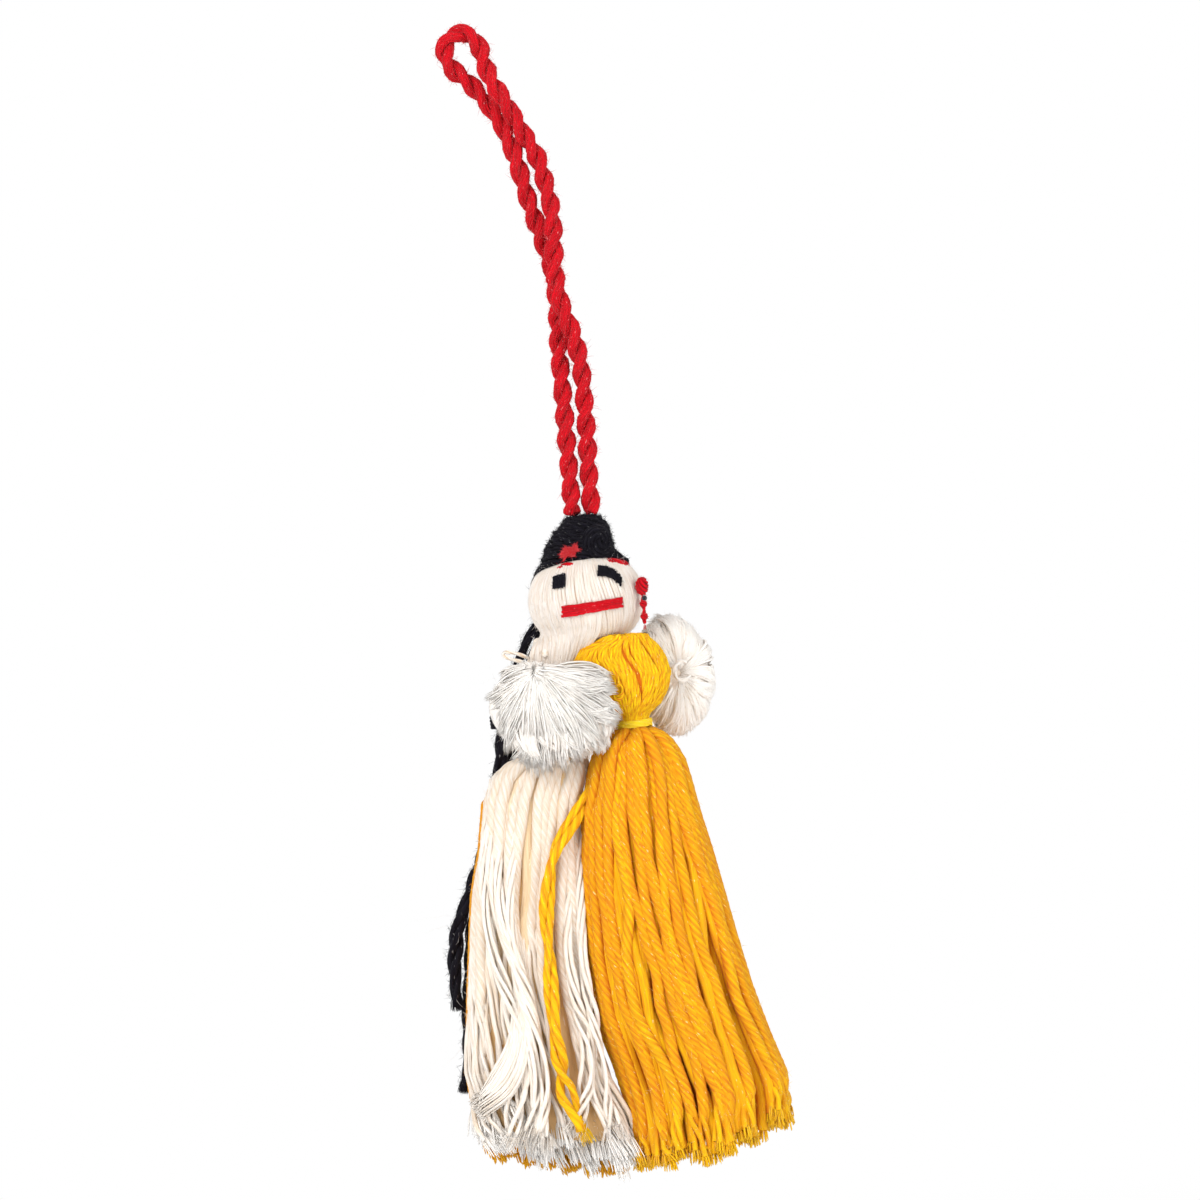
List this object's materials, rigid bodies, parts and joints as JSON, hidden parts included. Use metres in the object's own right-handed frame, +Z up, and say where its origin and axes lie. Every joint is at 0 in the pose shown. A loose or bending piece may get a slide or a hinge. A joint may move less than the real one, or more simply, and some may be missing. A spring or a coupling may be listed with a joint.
{
  "type": "yarn doll",
  "caption": "Hanging doll of wound and tied yarn: a round head with stitched face, tuft arms, tassel skirts, tails of hair and a cord loop.",
  "frame": {"origin": "inner top of the eye at the end of the hanging loop, where the doll hangs from a hook or ring", "axes": "+Z up along the hanging doll, its face towards -Y, +X to the right of someone who looks at its face"},
  "size_m": [0.0505, 0.0251, 0.1733],
  "materials": {
    "red_yarn": "matte twisted yarn",
    "black_yarn": "matte fuzzy yarn",
    "white_yarn": "matte fuzzy yarn",
    "yellow_yarn": "matte twisted yarn"
  },
  "bodies": {
    "hanger": {"hanger_cord": "red_yarn"},
    "swivel": {"hanger_knot": "red_yarn"},
    "head": {"crown_binding": "black_yarn", "hair_cap": "black_yarn", "hair_bun": "black_yarn", "hair_band": "red_yarn", "hair_bow": "red_yarn", "hair_back": "black_yarn", "head_cover": "white_yarn", "head_core": "white_yarn", "left_eye": "black_yarn", "right_eye": "black_yarn", "mouth": "red_yarn", "ear_knot": "red_yarn"},
    "ear_ornament": {"ear_thread": "red_yarn", "ear_bead_upper": "red_yarn", "ear_bead_lower": "red_yarn"},
    "torso": {"neck_tie": "white_yarn", "torso_core": "white_yarn", "white_bodice": "white_yarn", "yellow_bodice": "yellow_yarn", "white_waist_tie": "white_yarn", "yellow_waist_tie": "yellow_yarn", "yellow_underskirt": "yellow_yarn", "left_arm_tie": "white_yarn", "right_arm_tie": "white_yarn"},
    "white_skirt": {"white_skirt": "white_yarn", "loose_yellow_yarn": "yellow_yarn"},
    "yellow_skirt": {"yellow_skirt": "yellow_yarn"},
    "left_arm": {"left_pompom": "white_yarn"},
    "right_arm": {"right_pompom": "white_yarn", "right_arm_loop": "white_yarn"},
    "tails": {"short_tail": "black_yarn", "long_tail": "black_yarn", "tail_tie": "black_yarn"}
  },
  "joints": [
    {"name": "doll_swing", "type": "hinge", "parent": "hanger", "child": "swivel", "pos_m": [0.0133, 0, -0.0741], "axis": [0, 1, 0], "range_deg": [-30, 30]},
    {"name": "doll_twist", "type": "hinge", "parent": "swivel", "child": "head", "pos_m": [0.0133, 0, -0.0741], "axis": [0, 0, 1], "range_deg": [-90, 90], "stiffness_Nm_per_rad": 0.00002},
    {"name": "head_tilt", "type": "hinge", "parent": "head", "child": "torso", "pos_m": [0.0126, 0, -0.0918], "axis": [0, 1, 0], "range_deg": [-5, 5]},
    {"name": "tail_swing", "type": "hinge", "parent": "head", "child": "tails", "pos_m": [0.0053, 0.006, -0.0865], "axis": [0, 1, 0], "range_deg": [0, 15]},
    {"name": "ear_swing", "type": "hinge", "parent": "head", "child": "ear_ornament", "pos_m": [0.02134, -0.00465, -0.0845], "axis": [0, 1, 0], "range_deg": [-20, 15]},
    {"name": "left_arm_swing", "type": "hinge", "parent": "torso", "child": "left_arm", "pos_m": [0.0062, -0.0044, -0.0917], "axis": [-1, 0, 0], "range_deg": [0, 35]},
    {"name": "right_arm_swing", "type": "hinge", "parent": "torso", "child": "right_arm", "pos_m": [0.0185, 0.0042, -0.0943], "axis": [0, -1, 0], "range_deg": [0, 15]},
    {"name": "white_skirt_lift", "type": "hinge", "parent": "torso", "child": "white_skirt", "pos_m": [0.0052, -0.0015, -0.1078], "axis": [-1, 0, 0], "range_deg": [0, 25]},
    {"name": "yellow_skirt_lift", "type": "hinge", "parent": "torso", "child": "yellow_skirt", "pos_m": [0.0188, -0.0026, -0.1045], "axis": [-1, 0, 0], "range_deg": [0, 25]}
  ]
}
